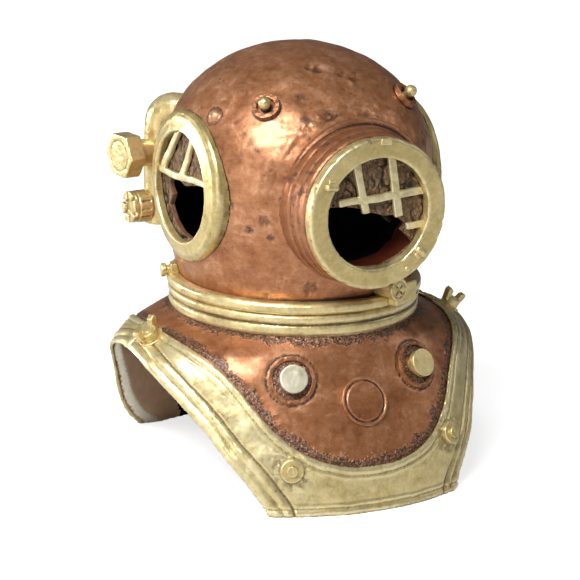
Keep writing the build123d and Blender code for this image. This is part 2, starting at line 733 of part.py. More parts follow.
def air_stone():
    """Porous cylinder with rounded ends on its stem."""
    low = RISER_TOP + 1.6
    stone = fillet(disc(STONE_R, low, low + STONE_H).edges(), 1.4)
    return Pos(0, RISER_Y, 0) * (stone - disc(RISER_BORE - RUN_CLEAR, low - 1, RISER_TOP + 6))


NODES["inlet_grommet"] = grommet()
NODES["air_nozzle"] = air_nozzle()
NODES["air_manifold"] = air_manifold()
NODES["riser_tube"] = riser_tube()
NODES["riser_clip"] = riser_clip()
NODES["stone_stem"] = stone_stem()
NODES["air_stone"] = air_stone()

for name, shape in NODES.items():
    export_step(shape, f"parts/{name}.step")
    print(name, round(shape.volume, 1), "mm3")
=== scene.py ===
import math
import bmesh
import bpy
import numpy as np
from mathutils import Matrix, Vector
from mathutils.kdtree import KDTree


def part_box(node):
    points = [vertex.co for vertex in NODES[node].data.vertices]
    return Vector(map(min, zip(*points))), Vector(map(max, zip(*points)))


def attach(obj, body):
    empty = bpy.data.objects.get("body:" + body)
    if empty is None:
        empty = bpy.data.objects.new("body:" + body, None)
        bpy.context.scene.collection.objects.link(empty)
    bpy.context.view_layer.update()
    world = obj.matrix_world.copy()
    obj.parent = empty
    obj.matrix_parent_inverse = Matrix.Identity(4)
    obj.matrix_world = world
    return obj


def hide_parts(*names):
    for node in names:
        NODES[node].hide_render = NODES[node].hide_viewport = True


# Bubbling aquarium ornament: a cast resin diver's helmet, painted as worn copper and brass.
# Sizes are in millimetres and turned into metres where a mesh is written.

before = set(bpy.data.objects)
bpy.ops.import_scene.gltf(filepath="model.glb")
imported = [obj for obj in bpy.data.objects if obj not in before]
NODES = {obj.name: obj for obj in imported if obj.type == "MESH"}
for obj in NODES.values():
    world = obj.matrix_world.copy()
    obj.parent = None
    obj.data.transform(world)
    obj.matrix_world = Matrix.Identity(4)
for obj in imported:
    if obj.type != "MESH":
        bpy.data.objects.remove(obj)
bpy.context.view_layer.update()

MM = 0.001

# ---- places shared with the CAD model --------------------------------------------------
WINDOW_Z = 118.2           # height of the middle of every window
NOZZLE_CUT_Z = 18.7        # above this the hose spigot is replaced by a barbed one
HOSE_X_Y = (0, 72.3)       # axis of the hose spigot
NECK_TOP_Z = 79.0          # foot of the dome, on the neck ring
PEG_HOLE_R = 8.4           # gritty hollow round each breast peg
PEG_LINE_R = 10.2          # dark line round each breast washer
CROWN_RING_R = 3.6         # painted shade: near-black hollow under each crown stud


# ---- noise ------------------------------------------------------------------------------
def lattice(ix, iy, iz, seed):
    """Repeatable number in 0..1 for each lattice point."""
    n = ix * 374761393 + iy * 668265263 + iz * 1440662683 + seed * 1274126177
    n = (n ^ (n >> 13)) & 0xFFFFFFFF
    n = (n * 1103515245 + 12345) & 0xFFFFFFFF
    n = ((n ^ (n >> 15)) * 2246822519) & 0xFFFFFFFF
    return ((n ^ (n >> 16)) & 0xFFFFFF) / float(0xFFFFFF)


def noise(points, size, seed):
    """Smooth noise from -1 to 1 with features about 'size' mm wide."""
    q = points / size
    base = np.floor(q).astype(np.int64)
    f = q - base
    f = f * f * f * (f * (f * 6 - 15) + 10)
    total = np.zeros(len(points))
    for corner in range(8):
        step = np.array([corner & 1, corner >> 1 & 1, corner >> 2 & 1])
        weight = np.prod(np.where(step == 1, f, 1 - f), axis=1)
        at = base + step
        total += weight * lattice(at[:, 0], at[:, 1], at[:, 2], seed)
    return total * 2 - 1


def rough(points, size, seed, octaves=3):
    """Noise with finer octaves added."""
    total = np.zeros(len(points))
    for k in range(octaves):
        total += noise(points, size / 2 ** k, seed + 17 * k) / 1.8 ** k
    return total / 1.6


def cells(points, size, seed):
    """Distances to the two nearest of scattered points, in units of 'size'."""
    q = points / size
    base = np.floor(q).astype(np.int64)
    near = np.full(len(points), 9.0)
    second = np.full(len(points), 9.0)
    for dx in (-1, 0, 1):
        for dy in (-1, 0, 1):
            for dz in (-1, 0, 1):
                at = base + np.array([dx, dy, dz])
                spot = np.stack([lattice(at[:, 0], at[:, 1], at[:, 2], seed + k) for k in (1, 2, 3)], 1)
                gap = np.linalg.norm(q - at - spot, axis=1)
                second = np.minimum(second, np.maximum(near, gap))
                near = np.minimum(near, gap)
    return near, second


def rise(values, low, high):
    """Smooth step from 0 at 'low' to 1 at 'high'."""
    t = np.clip((values - low) / (high - low), 0, 1)
    return t * t * (3 - 2 * t)


def bump(values, middle, half):
    """Rounded bump of height 1 centred on 'middle'."""
    return 1 - rise(np.abs(values - middle), 0, half)


# ---- meshes as arrays ---------------------------------------------------------------------
def cad_copy(name, nodes):
    """One welded mesh object made from copies of CAD nodes."""
    bm = bmesh.new()
    for node in nodes:
        bm.from_mesh(NODES[node].data)
    bmesh.ops.remove_doubles(bm, verts=bm.verts, dist=2e-6)
    mesh = bpy.data.meshes.new(name)
    bm.to_mesh(mesh)
    bm.free()
    obj = bpy.data.objects.new(name, mesh)
    bpy.context.scene.collection.objects.link(obj)
    return obj


def bake_modifiers(obj):
    """Replace an object's mesh by what its modifiers make of it."""
    graph = bpy.context.evaluated_depsgraph_get()
    mesh = bpy.data.meshes.new_from_object(obj.evaluated_get(graph))
    obj.modifiers.clear()
    obj.data = mesh
    return obj


def remeshed(obj, voxel):
    """Even mesh over the whole shape, which rounds its edges as casting does."""
    modifier = obj.modifiers.new("remesh", "REMESH")
    modifier.mode = "VOXEL"
    modifier.voxel_size = voxel * MM
    modifier.use_smooth_shade = True
    return bake_modifiers(obj)


class Skin:
    """A mesh's points, normals and edges as arrays in millimetres."""

    def __init__(self, obj):
        self.obj = obj
        self.read()

    def read(self):
        mesh = self.obj.data
        flat = np.empty(len(mesh.vertices) * 3)
        mesh.vertices.foreach_get("co", flat)
        self.points = flat.reshape(-1, 3) / MM
        mesh.vertex_normals.foreach_get("vector", flat)
        self.normals = flat.reshape(-1, 3).copy()
        ends = np.empty(len(mesh.edges) * 2, dtype=np.int64)
        mesh.edges.foreach_get("vertices", ends)
        self.ends = ends.reshape(-1, 2)
        self.count = len(self.points)
        self.valence = np.bincount(self.ends.ravel(), minlength=self.count).astype(float)

    def averaged(self, values):
        """Mean of each vertex's neighbours."""
        a, b = self.ends[:, 0], self.ends[:, 1]
        if values.ndim == 1:
            total = np.bincount(a, values[b], self.count) + np.bincount(b, values[a], self.count)
            return total / np.maximum(self.valence, 1)
        return np.stack([self.averaged(values[:, k]) for k in range(values.shape[1])], 1)

    def smoothed(self, values, rounds):
        for _ in range(rounds):
            values = (values + self.averaged(values)) / 2
        return values

    def soften(self, rounds):
        """Smooth the shape itself a little."""
        self.points = self.smoothed(self.points, rounds)
        self.write()

    def push(self, height):
        """Move every vertex along its normal."""
        self.points = self.points + self.normals * height[:, None]
        self.write()

    def write(self):
        self.obj.data.vertices.foreach_set("co", (self.points * MM).ravel())
        self.obj.data.update()
        self.read()

    def relief(self, rounds, depth):
        """How far each vertex lies in a hollow and on an edge, each from 0 to 1."""
        sunk = np.einsum("ij,ij->i", self.smoothed(self.points, rounds) - self.points, self.normals)
        return np.clip(sunk / depth, 0, 1), np.clip(-sunk / depth, 0, 1)

    def store(self, name, values):
        attribute = self.obj.data.attributes.new(name, "FLOAT", "POINT")
        attribute.data.foreach_set("value", np.clip(values, 0, 1).astype(np.float32))

    def refine(self, wanted):
        """Split the faces whose vertices are all wanted into four."""
        bm = bmesh.new()
        bm.from_mesh(self.obj.data)
        bm.verts.ensure_lookup_table()
        faces = [f for f in bm.faces if all(wanted[v.index] for v in f.verts)]
        edges = list({e for f in faces for e in f.edges})
        bmesh.ops.subdivide_edges(bm, edges=edges, cuts=1, use_grid_fill=True)
        bm.to_mesh(self.obj.data)
        bm.free()
        self.obj.data.shade_smooth()
        self.read()


def from_points(points, samples):
    """Distance from each of 'points' to the nearest of 'samples'."""
    tree = KDTree(len(samples))
    for k, s in enumerate(samples):
        tree.insert(s, k)
    tree.balance()
    return np.array([tree.find(p)[2] for p in points])


def rim_samples(node, test, spacing=0.6):
    """Points along the edges of those faces of a CAD node that pass a test."""
    mesh = NODES[node].data
    found = []
    for face in mesh.polygons:
        if not test(face.normal, face.center / MM):
            continue
        corners = [mesh.vertices[v].co / MM for v in face.vertices]
        for a, b in zip(corners, corners[1:] + corners[:1]):
            steps = max(1, int((b - a).length / spacing))
            found += [a.lerp(b, k / steps) for k in range(steps)]
    return found


# ---- materials -------------------------------------------------------------------------------
class Tree:
    """Short names for building a material's nodes."""

    def __init__(self, name):
        self.material = bpy.data.materials.new(name)
        self.material.use_nodes = True
        self.nodes = self.material.node_tree.nodes
        self.links = self.material.node_tree.links
        self.nodes.clear()
        coordinates = self.nodes.new("ShaderNodeTexCoord")
        self.place = coordinates.outputs["Object"]

    def feed(self, socket, value):
        if isinstance(value, bpy.types.NodeSocket):
            self.links.new(value, socket)
        elif hasattr(value, "__len__") and len(value) == 3 and len(socket.default_value) == 4:
            socket.default_value = (*value, 1.0)
        else:
            socket.default_value = value

    def stretched(self, scale):
        """Object coordinates in millimetres, divided by a feature size for each axis."""
        node = self.nodes.new("ShaderNodeMapping")
        self.feed(node.inputs["Vector"], self.place)
        node.inputs["Scale"].default_value = [1 / (MM * s) for s in scale]
        return node.outputs["Vector"]

    def noise(self, size, detail=3.0, roughness=0.55, distortion=0.0):
        node = self.nodes.new("ShaderNodeTexNoise")
        sizes = size if hasattr(size, "__len__") else (size,) * 3
        self.feed(node.inputs["Vector"], self.stretched(sizes))
        node.inputs["Scale"].default_value = 1.0
        node.inputs["Detail"].default_value = detail
        node.inputs["Roughness"].default_value = roughness
        node.inputs["Distortion"].default_value = distortion
        return node.outputs["Fac"]

    def cells(self, size, feature="F1"):
        node = self.nodes.new("ShaderNodeTexVoronoi")
        node.feature = feature
        sizes = size if hasattr(size, "__len__") else (size,) * 3
        self.feed(node.inputs["Vector"], self.stretched(sizes))
        node.inputs["Scale"].default_value = 1.0
        return node.outputs["Distance"]

    def held(self, name):
        """A value stored on the mesh."""
        node = self.nodes.new("ShaderNodeAttribute")
        node.attribute_name = name
        return node.outputs["Fac"]

    def math(self, operation, a, b=0.0):
        node = self.nodes.new("ShaderNodeMath")
        node.operation = operation
        self.feed(node.inputs[0], a)
        self.feed(node.inputs[1], b)
        return node.outputs[0]

    def fit(self, value, low, high, out_low=0.0, out_high=1.0):
        node = self.nodes.new("ShaderNodeMapRange")
        self.feed(node.inputs["Value"], value)
        limits = (("From Min", low), ("From Max", high), ("To Min", out_low), ("To Max", out_high))
        for name, number in limits:
            node.inputs[name].default_value = number
        return node.outputs["Result"]

    def mix(self, share, a, b, blend="MIX"):
        node = self.nodes.new("ShaderNodeMix")
        node.data_type = "RGBA"
        node.blend_type = blend
        self.feed(node.inputs["Factor"], share)
        self.feed(node.inputs["A"], a)
        self.feed(node.inputs["B"], b)
        return node.outputs["Result"]

    def bumps(self, height, strength, distance):
        node = self.nodes.new("ShaderNodeBump")
        node.inputs["Strength"].default_value = strength
        node.inputs["Distance"].default_value = distance * MM
        self.feed(node.inputs["Height"], height)
        return node.outputs["Normal"]

    def finish(self, **inputs):
        shader = self.nodes.new("ShaderNodeBsdfPrincipled")
        output = self.nodes.new("ShaderNodeOutputMaterial")
        for name, value in inputs.items():
            self.feed(shader.inputs[name.replace("_", " ")], value)
        self.links.new(shader.outputs["BSDF"], output.inputs["Surface"])
        return self.material


def painted(name, low, mid, high, wash, metal, gloss, brush=(7.0, 7.0, 3.0), bump_height=0.11):
    """Metallic paint brushed over cast resin, with a dark wash left in the hollows that on some pieces also
    carries painted shade; lighter on worn edges, with painted highlight on the lit tops and sides of some
    pieces.
    """
    t = Tree(name)
    broad = t.noise(15.0, 5.0, 0.62, 0.6)
    strokes = t.noise(brush, 5.0, 0.66, 0.8)
    mottle = t.noise(2.6, 5.0, 0.7, 0.5)
    grain = t.noise(0.62, 3.0, 0.6)
    tone = t.math("ADD", t.math("MULTIPLY", broad, 0.42), t.math("MULTIPLY", strokes, 0.30))
    tone = t.math("ADD", tone, t.math("MULTIPLY", mottle, 0.28))
    colour = t.mix(t.fit(tone, 0.38, 0.52), low, mid)
    colour = t.mix(t.fit(tone, 0.53, 0.72), colour, high)
    colour = t.mix(t.fit(grain, 0.55, 0.75, 0.0, 0.30), colour, high)
    # Worn edges and painted highlight: the stored field pulls the paint towards its high tone.
    worn = t.math("MULTIPLY", t.held("worn"), t.fit(t.noise(1.8, 3.0), 0.3, 0.6))
    colour = t.mix(t.math("MULTIPLY", worn, 0.8), colour, high)
    patches = t.math("MULTIPLY", t.fit(t.noise(6.5, 7.0, 0.75), 0.57, 0.74), t.fit(mottle, 0.42, 0.62))
    streaks = t.fit(t.noise((1.6, 1.6, 0.9), 6.0, 0.78, 1.2), 0.575, 0.66)
    speckle = t.math("MULTIPLY", streaks, t.fit(t.noise(12.0, 2.0), 0.44, 0.60))
    stain = t.math("MAXIMUM", t.math("MULTIPLY", patches, 0.75), t.math("MULTIPLY", speckle, 0.85))
    stain = t.math("MAXIMUM", t.math("MULTIPLY", stain, t.held("age")), t.held("wash"))
    uneven = t.math("MULTIPLY", t.math("SUBTRACT", grain, 0.5), 0.9)
    soiled = t.fit(t.math("ADD", stain, uneven), 0.14, 0.66)
    # Wash and stains darken the paint; on some pieces the stored field also holds painted shade.
    colour = t.mix(soiled, colour, wash)
    roughness = t.fit(t.math("ADD", tone, t.math("MULTIPLY", soiled, 0.35)), 0.35, 0.95, gloss, gloss + 0.4)
    height = t.math("ADD", t.math("MULTIPLY", grain, 0.6), t.math("MULTIPLY", strokes, 0.5))
    height = t.math("ADD", height, t.math("MULTIPLY", mottle, 1.2))
    metallic = t.fit(soiled, 0.0, 1.0, metal, metal * 0.25)
    return t, colour, roughness, metallic, height, bump_height


COPPER = dict(low=(0.30, 0.098, 0.030), mid=(0.45, 0.178, 0.068), high=(0.80, 0.46, 0.28),
              wash=(0.030, 0.013, 0.007))
BRASS = dict(low=(0.50, 0.375, 0.125), mid=(0.76, 0.60, 0.26), high=(0.97, 0.87, 0.56),
             wash=(0.11, 0.068, 0.020))
PALE = dict(low=(0.72, 0.64, 0.42), mid=(0.88, 0.82, 0.62), high=(0.98, 0.95, 0.84))


def helmet_copper():
    """Copper paint outside, brass paint on the cut edges, a gritty dark band beside the brass."""
    t, colour, roughness, metallic, height, depth = painted(
        "helmet_copper", metal=0.62, gloss=0.26, **COPPER)
    grit = t.noise(0.75, 4.0, 0.75)
    fleck = t.noise(1.15, 3.0, 0.6)
    reach = t.math("ADD", t.held("crumb"), t.math("MULTIPLY", t.math("SUBTRACT", fleck, 0.5), 2.6))
    gritty = t.math("MULTIPLY", t.fit(reach, 0.30, 0.62), t.fit(t.held("crumb"), 0.02, 0.2))
    crumbs = t.mix(t.fit(grit, 0.44, 0.60), (0.030, 0.013, 0.008), (0.52, 0.27, 0.16))
    crumbs = t.mix(t.fit(fleck, 0.50, 0.64, 0.0, 0.75), crumbs, (0.16, 0.065, 0.033))
    colour = t.mix(gritty, colour, crumbs)
    height = t.math("ADD", height, t.math("MULTIPLY", t.math("MULTIPLY", gritty, grit), 5.0))
    edge = t.held("brass_edge")
    colour = t.mix(edge, colour, t.mix(t.noise(2.5, 4.0), PALE["low"], PALE["high"]))
    brown = t.mix(t.noise(4.0, 5.0), (0.60, 0.33, 0.18), (0.93, 0.66, 0.43))
    colour = t.mix(t.held("inner"), colour, brown)
    metallic = t.math("MULTIPLY", metallic, t.fit(t.held("inner"), 0.0, 1.0, 1.0, 0.0))
    return t.finish(Base_Color=colour, Roughness=roughness, Metallic=metallic,
                    Normal=t.bumps(height, 0.6, depth),
                    Coat_Weight=0.35, Coat_Roughness=0.3)


def tube_copper():
    """Smoother orange copper on the window tube, oxide red in its bore."""
    tones = dict(low=(0.25, 0.088, 0.034), mid=(0.38, 0.155, 0.068), high=(0.66, 0.35, 0.20),
                 wash=(0.035, 0.015, 0.008))
    t, colour, roughness, metallic, height, depth = painted("tube_copper", metal=0.62, gloss=0.26, **tones)
    red = t.mix(t.noise(3.0, 4.0), (0.035, 0.007, 0.003), (0.16, 0.032, 0.012))
    colour = t.mix(t.held("inner"), colour, red)
    metallic = t.math("MULTIPLY", metallic, t.fit(t.held("inner"), 0.0, 1.0, 1.0, 0.1))
    return t.finish(Base_Color=colour, Roughness=roughness, Metallic=metallic,
                    Normal=t.bumps(height, 0.5, depth))


def brass(name, metal=0.70, gloss=0.25, brush=(6.0, 6.0, 4.0), **tones):
    """Pale antique brass paint, olive where it is tarnished; on the straps the olive also serves as painted
    shade on the side away from the light.
    """
    t, colour, roughness, metallic, height, depth = painted(
        name, metal=metal, gloss=gloss, brush=brush, **{**BRASS, **tones})
    olive = t.mix(t.noise(1.8, 4.0), (0.32, 0.235, 0.075), (0.54, 0.42, 0.165))
    # Olive mix: tarnish, and on the straps painted shade on the side away from the light.
    tarnish = t.math("MULTIPLY", t.held("tarnish"), t.fit(t.noise(brush, 5.0, 0.65), 0.3, 0.6))
    colour = t.mix(tarnish, colour, olive)
    return t.finish(Base_Color=colour, Roughness=roughness, Metallic=metallic,
                    Normal=t.bumps(height, 0.45, depth),
                    Coat_Weight=0.35, Coat_Roughness=0.25)


def inside_painted_shade():
    """Painted shade: flat black paint inside the casting, barely mottled, standing in for the dark of the
    hollow inside.
    """
    t = Tree("inside_painted_shade")
    tone = t.mix(t.noise(5.0, 4.0), (0.0016, 0.0015, 0.0015), (0.0042, 0.0038, 0.0040))
    return t.finish(Base_Color=tone, Roughness=0.92, Specular_IOR_Level=0.08,
                    Normal=t.bumps(t.noise(1.4, 4.0), 0.4, 0.15))


def bark():
    """Brown cracked crust, dark in its cracks and dusty brown on its lumps."""
    t = Tree("bark")
    tone = t.noise(3.2, 7.0, 0.75)
    colour = t.mix(t.fit(tone, 0.36, 0.62), (0.070, 0.036, 0.014), (0.29, 0.165, 0.078))
    dust = t.math("MULTIPLY", t.held("worn"), t.fit(t.noise(1.0, 4.0), 0.38, 0.66))
    colour = t.mix(dust, colour, (0.42, 0.25, 0.13))
    colour = t.mix(t.math("MULTIPLY", t.fit(t.noise(5.5, 3.0), 0.5, 0.68), 0.6), colour, (0.17, 0.12, 0.05))
    hairline = t.fit(t.cells((1.7, 1.7, 3.2), "DISTANCE_TO_EDGE"), 0.02, 0.09)
    colour = t.mix(hairline, t.mix(0.6, colour, (0.03, 0.016, 0.010)), colour)
    # Near-black in the cracks, and as painted shade on the pane's inward face.
    colour = t.mix(t.held("wash"), colour, (0.014, 0.008, 0.005))
    colour = t.mix(t.held("broken"), colour, t.mix(tone, (0.09, 0.030, 0.013), (0.30, 0.135, 0.070)))
    height = t.math("ADD", t.noise(0.9, 4.0, 0.7), t.math("MULTIPLY", hairline, 0.8))
    return t.finish(Base_Color=colour, Roughness=t.fit(tone, 0.3, 0.7, 0.42, 0.7), Metallic=0.12,
                    Normal=t.bumps(height, 0.7, 0.3))


def moulded(name, colour, pale, roughness, grain=0.5, strength=0.25):
    """Moulded plastic or rubber: faint mottling and a fine sparked grain."""
    t = Tree(name)
    tone = t.mix(t.fit(t.noise(6.0, 4.0), 0.35, 0.7), colour, pale)
    height = t.math("ADD", t.noise(grain, 3.0, 0.6), t.math("MULTIPLY", t.noise((9.0, 9.0, 1.2), 2.0), 0.5))
    spread = t.fit(t.noise(4.0, 3.0), 0.3, 0.7, roughness, roughness + 0.15)
    return t.finish(Base_Color=tone, Roughness=spread, Normal=t.bumps(height, strength, 0.05))


def porous():
    """Sintered mineral grains: pale blue-grey beads with dark gaps."""
    t = Tree("air_stone")
    gap = t.cells(0.85)
    colour = t.mix(t.noise(1.2, 3.0), (0.16, 0.24, 0.37), (0.42, 0.52, 0.66))
    colour = t.mix(t.fit(gap, 0.45, 0.8), colour, (0.035, 0.05, 0.085))
    height = t.math("SUBTRACT", t.noise(0.5, 3.0), t.math("MULTIPLY", gap, 1.2))
    return t.finish(Base_Color=colour, Roughness=t.fit(gap, 0.2, 0.8, 0.8, 0.98),
                    Normal=t.bumps(height, 0.9, 0.4))


MATERIALS = {
    "copper_shell": helmet_copper(),
    "front_tube": tube_copper(),
    "copper_fittings": helmet_copper(),
    "brass_fittings": brass("brass_fittings"),
    # Painted highlight: a paler copy of the brass paint, for the breast peg that faces the light.
    "brass_painted_highlight": brass("brass_painted_highlight", gloss=0.3, **PALE),
    "brass_bars": brass("brass_bars", low=(0.60, 0.49, 0.23), mid=(0.84, 0.73, 0.42), gloss=0.28),
    "brass_straps": brass("brass_straps", brush=(5.0, 5.0, 5.0), gloss=0.24, mid=(0.80, 0.66, 0.32)),
    "inside_painted_shade": inside_painted_shade(),
    "pane_bark": bark(),
    "rubber_grommet": moulded("rubber", (0.012, 0.012, 0.012), (0.035, 0.034, 0.032), 0.62, 0.8, 0.4),
    "air_plastic": moulded("black_plastic", (0.012, 0.012, 0.014), (0.03, 0.03, 0.033), 0.3),
    "clear_plastic": moulded("milky_plastic", (0.60, 0.66, 0.66), (0.80, 0.84, 0.84), 0.22),
    "air_stone": porous(),
}


# ---- finishing a piece ------------------------------------------------------------------------
def settle(skin, material, slot, nodes, body="helmet", painted_shade_faces=None, **fields):
    """Store the paint fields, give the piece its material and hang it on its body. Faces in the given mask
    get the flat black painted shade of the inside.
    """
    zero = np.zeros(skin.count)
    for name in ("wash", "worn", "age", "inner", "brass_edge", "tarnish", "broken", "crumb"):
        skin.store(name, fields.get(name, zero))
    mesh = skin.obj.data
    mesh.materials.clear()
    mesh.materials.append(MATERIALS[material])
    mesh.shade_smooth()
    # Painted shade: the masked faces take the flat black inside material.
    if painted_shade_faces is not None:
        mesh.materials.append(MATERIALS["inside_painted_shade"])
        starts = np.empty(len(mesh.polygons), dtype=np.int64)
        mesh.polygons.foreach_get("loop_start", starts)
        corners = np.empty(len(mesh.loops), dtype=np.int64)
        mesh.loops.foreach_get("vertex_index", corners)
        mesh.polygons.foreach_set("material_index", (painted_shade_faces[corners[starts]] > 0.5).astype(np.int32))
    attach(skin.obj, body)
    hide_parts(*nodes)
    return skin.obj


def cast_piece(node, voxel, slot, material=None, unevenness=0.08, lump=2.6, body="helmet", age=0.35,
               soften=2, seed=3, bend=0.0, sink=0.0, grime=0.0, painted_highlight=0.0):
    """A small cast piece: softened edges, uneven surface, wash in its hollows, and on request a painted
    highlight on its upward faces.
    """
    skin = Skin(remeshed(cad_copy("cast_" + node, [node]), voxel))
    skin.soften(soften)
    p = skin.points
    if bend:
        skin.points = p + bend * np.stack([noise(p, 9, seed + k) for k in (1, 2, 3)], 1)
        skin.write()
    skin.push(unevenness * (rough(p, lump, seed) + 0.5 * noise(p, lump * 3, seed + 5)) - sink)
    hollow, edge = skin.relief(8, voxel * 0.5)
    wash = np.clip(hollow * 1.4 - 0.1, 0, 1) * (0.7 + 0.3 * noise(skin.points, 2.0, seed + 9))
    wash = np.maximum(wash, grime * rise(rough(skin.points, 1.6, seed + 11), 0.05, 0.35))
    # Painted highlight: upward faces are lightened as if lit from above, added to the wear on raised edges.
    worn = np.maximum(edge, painted_highlight * rise(skin.normals[:, 2], 0.0, 0.7))
    return settle(skin, material or slot, slot, [node], body, wash=wash, worn=worn,
                  age=np.full(skin.count, age))


# ---- bonnet ---------------------------------------------------------------------------------
DENTS = [  # place, radius and depth of each deep dent and each raised blister on the bonnet
    ((-5.8, -25.3, 167.1), 3.0, 0.9),
    ((-8.4, -23.0, 167.6), 1.8, 0.6),
    ((2.4, -29.2, 165.6), 2.7, 0.8),
    ((7.0, -31.4, 163.6), 3.1, 0.7),
    ((4.6, -33.6, 162.0), 1.8, -0.5),
    ((-18.0, -34.0, 159.0), 4.6, 0.35),
    ((-9.3, -42.9, 153.4), 4.0, 0.4),
    ((-18.7, -8.9, 169.2), 4.5, 0.3),
    ((-39.5, -35.9, 107.7), 1.7, 0.35),
    ((-32.9, -41.7, 105.3), 1.6, 0.3),
    ((36.0, 22.0, 150.0), 4.0, 0.5),
    ((-12.0, 38.0, 155.0), 3.4, 0.6),
    ((20.0, 47.0, 128.0), 3.0, 0.45),
    ((-8.0, 50.0, 108.0), 3.6, 0.5),
    ((39.0, 34.0, 112.0), 2.6, 0.4),
]
DENT_GAIN = 1.35          # scale on every depth above
PATINA = [  # place and radius of each dark smudge
    ((-39.5, -35.9, 107.7), 2.2), ((-32.9, -41.7, 105.3), 1.8), ((-36.4, -36.7, 139.5), 1.8),
    ((-9.3, -42.9, 153.4), 3.2), ((-18.0, -34.0, 159.0), 3.0), ((-19.3, -41.0, 151.5), 2.6),
    ((-5.8, -25.3, 167.1), 2.4), ((2.4, -29.2, 165.6), 2.2), ((7.0, -31.4, 163.6), 2.4),
]
BUMP = (-44.7, -14.2, 149.2)      # small raised rivet beside the right window
CROWN_STUDS = [(-31.9, -32.1, 156.4), (31.9, -32.1, 156.4)]
DOME_CENTRE = np.array([0, 0, 112.0])


def hammered(p, seed):
    """Soft hammer facets and lumps of a beaten sheet, in millimetres."""
    near, _ = cells(p + 1.5 * np.stack([noise(p, 6, seed + k) for k in (1, 2, 3)], 1), 8.0, seed)
    facets = 0.26 * (near ** 2 - 0.3)
    lumps = 0.30 * noise(p, 12, seed + 4) + 0.17 * noise(p, 5.2, seed + 5)
    return lumps - facets + 0.035 * noise(p, 1.7, seed + 6)


def build_bonnet():
    skin = Skin(remeshed(cad_copy("bonnet", ["bonnet_shell"]), 0.85))
    p, n = skin.points, skin.normals
    axis = p - DOME_CENTRE
    outward = np.einsum("ij,ij->i", n, axis / np.linalg.norm(axis, axis=1)[:, None])
    outer = rise(outward, 0.25, 0.6)
    from_front = np.hypot(p[:, 0], p[:, 2] - WINDOW_Z)
    front = (p[:, 1] < 0).astype(float)
    neck = rise(p[:, 2], NECK_TOP_Z - 1, NECK_TOP_Z + 4)
    height = hammered(p, 11)
    pits_near, _ = cells(p, 4.2, 31)
    pits = bump(pits_near, 0, 0.26) * rise(noise(p, 16, 77), -0.2, 0.3)
    smudges = rise(rough(p, 4.5, 83), 0.28, 0.6) * rise(noise(p, 20, 84), -0.15, 0.4)
    height -= 0.28 * pits + 0.15 * smudges
    dark = np.maximum(0.75 * pits, 0.42 * smudges)
    for centre, radius, depth in DENTS:
        ragged = 0.8 * np.stack([noise(p, 2.4, s) for s in (5, 6, 7)], 1)
        gap = np.linalg.norm(p - np.array(centre) + ragged, axis=1)
        bowl = np.exp(-2.2 * (gap / radius) ** 2)
        height -= DENT_GAIN * depth * bowl
        dark = np.maximum(dark, 0.35 * rise(depth * bowl, 0.25, 0.8))
    for centre, radius in PATINA:
        ragged = 1.4 * np.stack([noise(p, 2.0, s) for s in (8, 9, 10)], 1)
        gap = np.linalg.norm(p - np.array(centre) + ragged, axis=1)
        dark = np.maximum(dark, 0.55 * (1 - rise(gap, 0.3 * radius, 1.4 * radius)))
    bump_gap = np.linalg.norm(p - np.array(BUMP), axis=1)
    height += 1.5 * (1 - rise(bump_gap, 1.0, 3.2)) - 0.5 * bump(bump_gap, 3.6, 0.9)
    dark = np.maximum(dark, 0.35 * bump(bump_gap, 3.7, 1.0))
    for stud in CROWN_STUDS:
        gap = np.linalg.norm(p - np.array(stud), axis=1)
        # Painted shade: near-black on the dome in the hollow under each crown stud; the next line is a dark
        # joint line round the washer.
        dark = np.maximum(dark, 0.95 * (1 - rise(gap, CROWN_RING_R - 0.2, CROWN_RING_R + 0.8)))
        dark = np.maximum(dark, 0.95 * bump(gap, 6.3, 0.9))
    turn = np.degrees(np.arctan2(p[:, 2] - WINDOW_Z, p[:, 0] - 1.3))
    high_left = bump(turn, 105, 80)
    crack = from_front - 34.6 - 0.7 * noise(p, 3.0, 41)
    seam = front * bump(crack, 0, 0.8) * (0.2 + 0.8 * high_left) * rise(noise(p, 4.5, 43), -0.35, 0.35)
    height -= 0.3 * seam
    rubble = front * bump(from_front, 36.5, 4.5) * high_left
    height += 0.40 * rubble * rough(p, 1.9, 51)
    broken_up = rise(rough(p, 1.5, 61), 0.0, 0.45)
    dark = np.maximum(dark, 0.55 * seam + 0.42 * rubble * broken_up)
    # A dark line at the foot of the dome on the neck ring, plus painted shade that deepens towards the
    # wearer's left front, away from the light.
    foot = bump(p[:, 2], NECK_TOP_Z + 0.3, 1.5 + 1.0 * noise(p, 7, 15))
    dark = np.maximum(dark, 0.85 * foot * rise(p[:, 0] * 0.6 - p[:, 1] * 0.4, -18, 32) + 0.35 * foot)
    skin.push(height * outer * neck)
    hollow, edge = skin.relief(14, 0.22)
    wash = np.maximum(dark, 0.55 * rise(hollow, 0.25, 1.0)) * outer
    # Painted shade: the shell's inward-facing side takes the flat black inside paint.
    settle(skin, "copper_shell", "copper_shell", ["bonnet_shell"], painted_shade_faces=1 - rise(outward, 0.05, 0.2),
           wash=wash, worn=edge * outer, age=0.85 * outer)


# ---- corselet and straps ----------------------------------------------------------------------
def is_arch_cut_low(normal, centre):
    return abs(normal.x) < 0.02 and abs(centre.x) > 30 and centre.z > 0.05


def is_field_cut(normal, centre):
    return abs(normal.y) < 0.02 and abs(centre.y) > 8


ARCH_RIM = rim_samples("front_brail", is_arch_cut_low) + rim_samples("back_brail", is_arch_cut_low)
FIELD_RIM = rim_samples("front_brail", is_field_cut) + rim_samples("back_brail", is_field_cut)
STUD_SPOTS = [sum(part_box(n), Vector()) / 2 / MM for n in sorted(NODES) if n.startswith("brail_boss")]
SHOULDER_SPOTS = [sum(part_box(n), Vector()) / 2 / MM for n in sorted(NODES) if n.startswith("shoulder_stud")]
PEG_SPOTS = [sum(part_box(n), Vector()) / 2 / MM for n in sorted(NODES) if n.startswith("breast_washer")]


